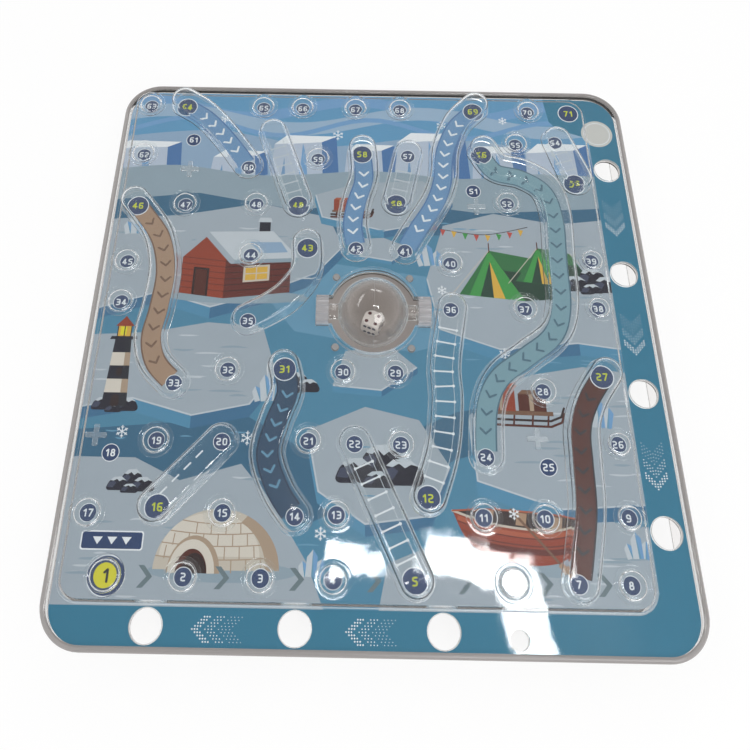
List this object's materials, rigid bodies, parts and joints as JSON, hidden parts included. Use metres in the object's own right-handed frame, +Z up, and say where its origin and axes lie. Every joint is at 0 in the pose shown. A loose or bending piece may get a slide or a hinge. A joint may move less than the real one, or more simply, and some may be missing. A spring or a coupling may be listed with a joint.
{
  "type": "maze board game",
  "caption": "Flat clear-cased track board game: printed card under a clear cover with raised domes, slides and ladders, and a clear dice ball spinning on an axle at the centre.",
  "frame": {"origin": "on the table, under the middle of the case's outline", "axes": "+X to the right of a player, +Y away from the player, +Z up out of the board"},
  "size_m": [0.29, 0.298, 0.037],
  "materials": {
    "clear": "clear gloss",
    "smoky_clear": "clear gloss, faintly smoky",
    "card": "printed, satin",
    "white": "gloss"
  },
  "bodies": {
    "case": {"base_tray": "smoky_clear", "printed_card": "card", "top_cover": "clear", "cell_domes": "clear", "start_dome": "clear", "slide_46_to_33": "clear", "slide_31_to_14": "clear", "slide_43_to_35": "clear", "slide_58_to_42": "clear", "slide_69_to_41": "clear", "slide_56_to_24": "clear", "slide_64_to_60": "clear", "slide_27_to_7": "clear", "ladder_5_to_22": "clear", "ladder_12_to_36": "clear", "ladder_16_to_20": "clear", "ladder_49_to_65": "clear", "ladder_50_to_57": "clear", "ladder_53_to_54": "clear", "support_crosses": "clear", "locating_pins": "smoky_clear", "bearing_cap_left": "clear", "bearing_cap_right": "clear", "bearing_saddle_left": "smoky_clear", "bearing_saddle_right": "smoky_clear"},
    "dice_ball": {"dice_ball_left": "clear", "dice_ball_right": "clear"},
    "die": {"die": "white"}
  },
  "joints": [
    {"name": "ball_spin", "type": "hinge", "parent": "case", "child": "dice_ball", "pos_m": [0, 0.007, 0.019], "axis": [1, 0, 0], "continuous": true},
    {"name": "die_tumble", "type": "hinge", "parent": "case", "child": "die", "pos_m": [0, 0.007, 0.019], "axis": [1, 0, 0], "continuous": true}
  ]
}
